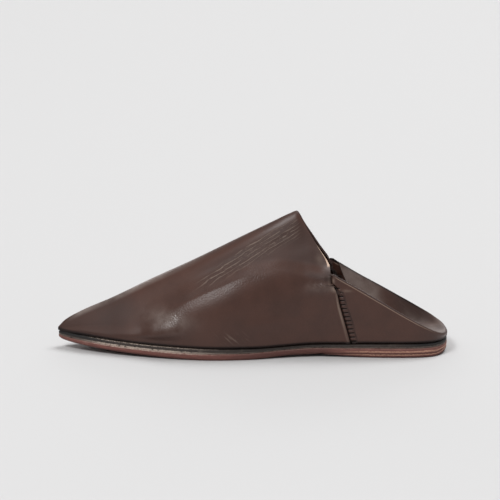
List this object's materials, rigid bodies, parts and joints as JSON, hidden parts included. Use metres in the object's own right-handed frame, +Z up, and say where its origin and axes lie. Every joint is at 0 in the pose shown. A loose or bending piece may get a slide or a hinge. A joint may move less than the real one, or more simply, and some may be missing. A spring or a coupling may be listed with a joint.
{
  "type": "babouche slipper",
  "caption": "Pointed leather babouche slipper, left shoe, back folded down inside to make a mule, on a thin layered leather sole.",
  "frame": {"origin": "on the floor, under the centre of the shoe's box", "axes": "+X from toe to heel, +Y from the outer to the inner side of the foot, +Z up"},
  "size_m": [0.276, 0.0816, 0.0992],
  "materials": {
    "sole_leather": "reddish-brown edge-finished sole leather, satin, worn",
    "midsole_leather": "dark dyed leather edge with pale raw fibres",
    "insole_leather": "plain brown lining leather, matte",
    "upper_leather": "smooth dark brown leather, satin, softly creased"
  },
  "bodies": {
    "root": {"heel_lift": "sole_leather", "outsole": "sole_leather", "midsole": "midsole_leather", "insole": "insole_leather", "upper": "upper_leather"}
  },
  "joints": []
}
